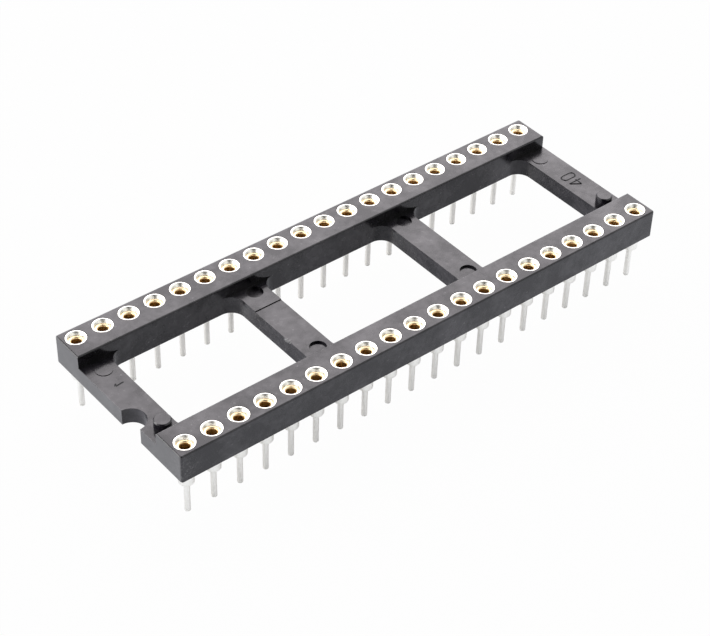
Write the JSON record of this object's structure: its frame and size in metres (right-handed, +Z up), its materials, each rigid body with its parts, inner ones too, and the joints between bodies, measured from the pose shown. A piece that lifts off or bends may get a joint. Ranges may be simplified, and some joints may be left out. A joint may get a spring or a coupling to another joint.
{
  "type": "ic socket",
  "caption": "Open-frame turned-pin socket for a wide dual-in-line integrated circuit, with spring-clip receptacles on top and solder tails below.",
  "frame": {"origin": "centre of the forty-tail pattern on the board's top surface, where the sleeves' shoulders rest", "axes": "+X along the rows from contact 1 to contact 20, away from the notched end; +Y from the row of contacts 1 to 20 to the row of contacts 21 to 40; +Z up, away from the board, the way an integrated circuit is pulled out"},
  "size_m": [0.0508, 0.0176, 0.0074],
  "materials": {
    "insulator": "black glass-filled moulding with a fine matte texture",
    "sleeve": "tin over turned brass",
    "clip": "gold over a copper alloy spring"
  },
  "bodies": {
    "root": {"insulator": "insulator", "sleeve_01": "sleeve", "sleeve_02": "sleeve", "sleeve_03": "sleeve", "sleeve_04": "sleeve", "sleeve_05": "sleeve", "sleeve_06": "sleeve", "sleeve_07": "sleeve", "sleeve_08": "sleeve", "sleeve_09": "sleeve", "sleeve_10": "sleeve", "sleeve_11": "sleeve", "sleeve_12": "sleeve", "sleeve_13": "sleeve", "sleeve_14": "sleeve", "sleeve_15": "sleeve", "sleeve_16": "sleeve", "sleeve_17": "sleeve", "sleeve_18": "sleeve", "sleeve_19": "sleeve", "sleeve_20": "sleeve", "sleeve_21": "sleeve", "sleeve_22": "sleeve", "sleeve_23": "sleeve", "sleeve_24": "sleeve", "sleeve_25": "sleeve", "sleeve_26": "sleeve", "sleeve_27": "sleeve", "sleeve_28": "sleeve", "sleeve_29": "sleeve", "sleeve_30": "sleeve", "sleeve_31": "sleeve", "sleeve_32": "sleeve", "sleeve_33": "sleeve", "sleeve_34": "sleeve", "sleeve_35": "sleeve", "sleeve_36": "sleeve", "sleeve_37": "sleeve", "sleeve_38": "sleeve", "sleeve_39": "sleeve", "sleeve_40": "sleeve", "clips_01_04": "clip", "clips_05_08": "clip", "clips_09_12": "clip", "clips_13_16": "clip", "clips_17_20": "clip", "clips_21_24": "clip", "clips_25_28": "clip", "clips_29_32": "clip", "clips_33_36": "clip", "clips_37_40": "clip"}
  },
  "joints": []
}
